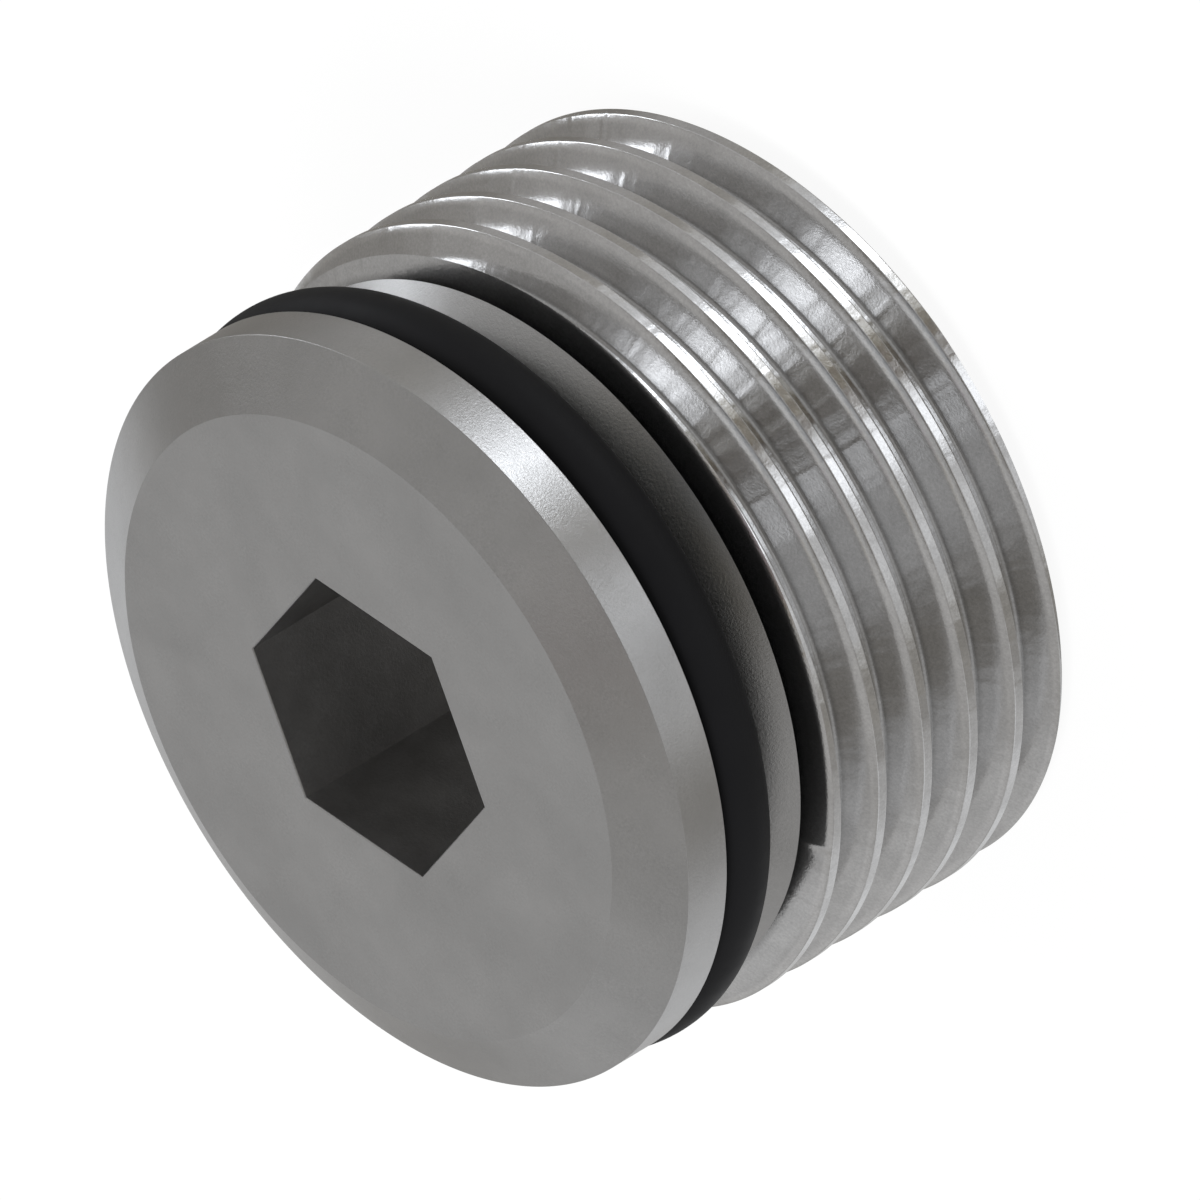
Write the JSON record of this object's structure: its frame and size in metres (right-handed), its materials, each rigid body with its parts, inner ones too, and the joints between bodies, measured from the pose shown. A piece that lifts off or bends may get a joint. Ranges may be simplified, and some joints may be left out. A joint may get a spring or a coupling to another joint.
{
  "type": "drain plug",
  "caption": "Oil drain plug: a threaded steel screw plug with a hex socket in its chamfered head and a rubber O-ring in the groove behind the head, to close a drain port.",
  "frame": {"origin": "centre of the flat end face at the threaded end, on which the plug stands", "axes": "+Z along the plug's axis from the threaded end to the head; two flats of the hex socket face +X and -X"},
  "size_m": [0.0284, 0.0284, 0.0191],
  "materials": {
    "steel": "satin, machined, with brighter thread crests",
    "rubber": "matt black"
  },
  "bodies": {
    "root": {"plug_body": "steel", "o_ring": "rubber"}
  },
  "joints": []
}
